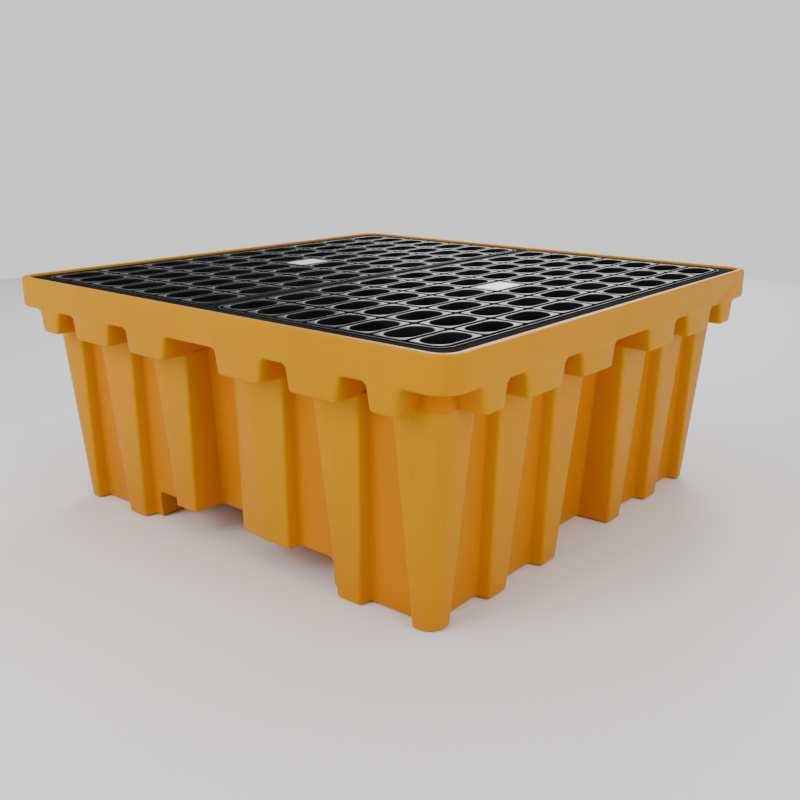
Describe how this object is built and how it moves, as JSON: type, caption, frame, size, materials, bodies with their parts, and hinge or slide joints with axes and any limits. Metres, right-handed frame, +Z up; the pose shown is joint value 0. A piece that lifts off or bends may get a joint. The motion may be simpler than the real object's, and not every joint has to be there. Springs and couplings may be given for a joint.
{
  "type": "spill containment pallet",
  "caption": "Square moulded spill pallet: deep corrugated sump tub with castellated rim, fork channel, lift-out perforated deck grates and loose support posts.",
  "frame": {"origin": "on the floor, below the middle of the tub", "axes": "+Z up; the fork channel runs along Y and opens in both faces across Y; the two grates meet along Y above the origin"},
  "size_m": [1.6, 1.6, 0.693],
  "materials": {
    "tub_plastic": "satin moulded yellow polyethylene",
    "grate_plastic": "satin moulded black polyethylene",
    "post_plastic": "matt extruded dark grey polyethylene",
    "label_film": "blank white vinyl label"
  },
  "bodies": {
    "tub": {"sump_tub": "tub_plastic", "support_post_left_1": "post_plastic", "support_post_left_2": "post_plastic", "support_post_left_3": "post_plastic", "support_post_centre_1": "post_plastic", "support_post_centre_2": "post_plastic", "support_post_centre_3": "post_plastic", "support_post_right_1": "post_plastic", "support_post_right_2": "post_plastic", "support_post_right_3": "post_plastic"},
    "grate_left": {"deck_grate_left": "grate_plastic", "label_left": "label_film"},
    "grate_right": {"deck_grate_right": "grate_plastic", "label_right": "label_film"}
  },
  "joints": [
    {"name": "lift_left", "type": "slide", "parent": "tub", "child": "grate_left", "axis": [0, 0, 1], "range_m": [0, 0.5]},
    {"name": "lift_right", "type": "slide", "parent": "tub", "child": "grate_right", "axis": [0, 0, 1], "range_m": [0, 0.5]}
  ]
}
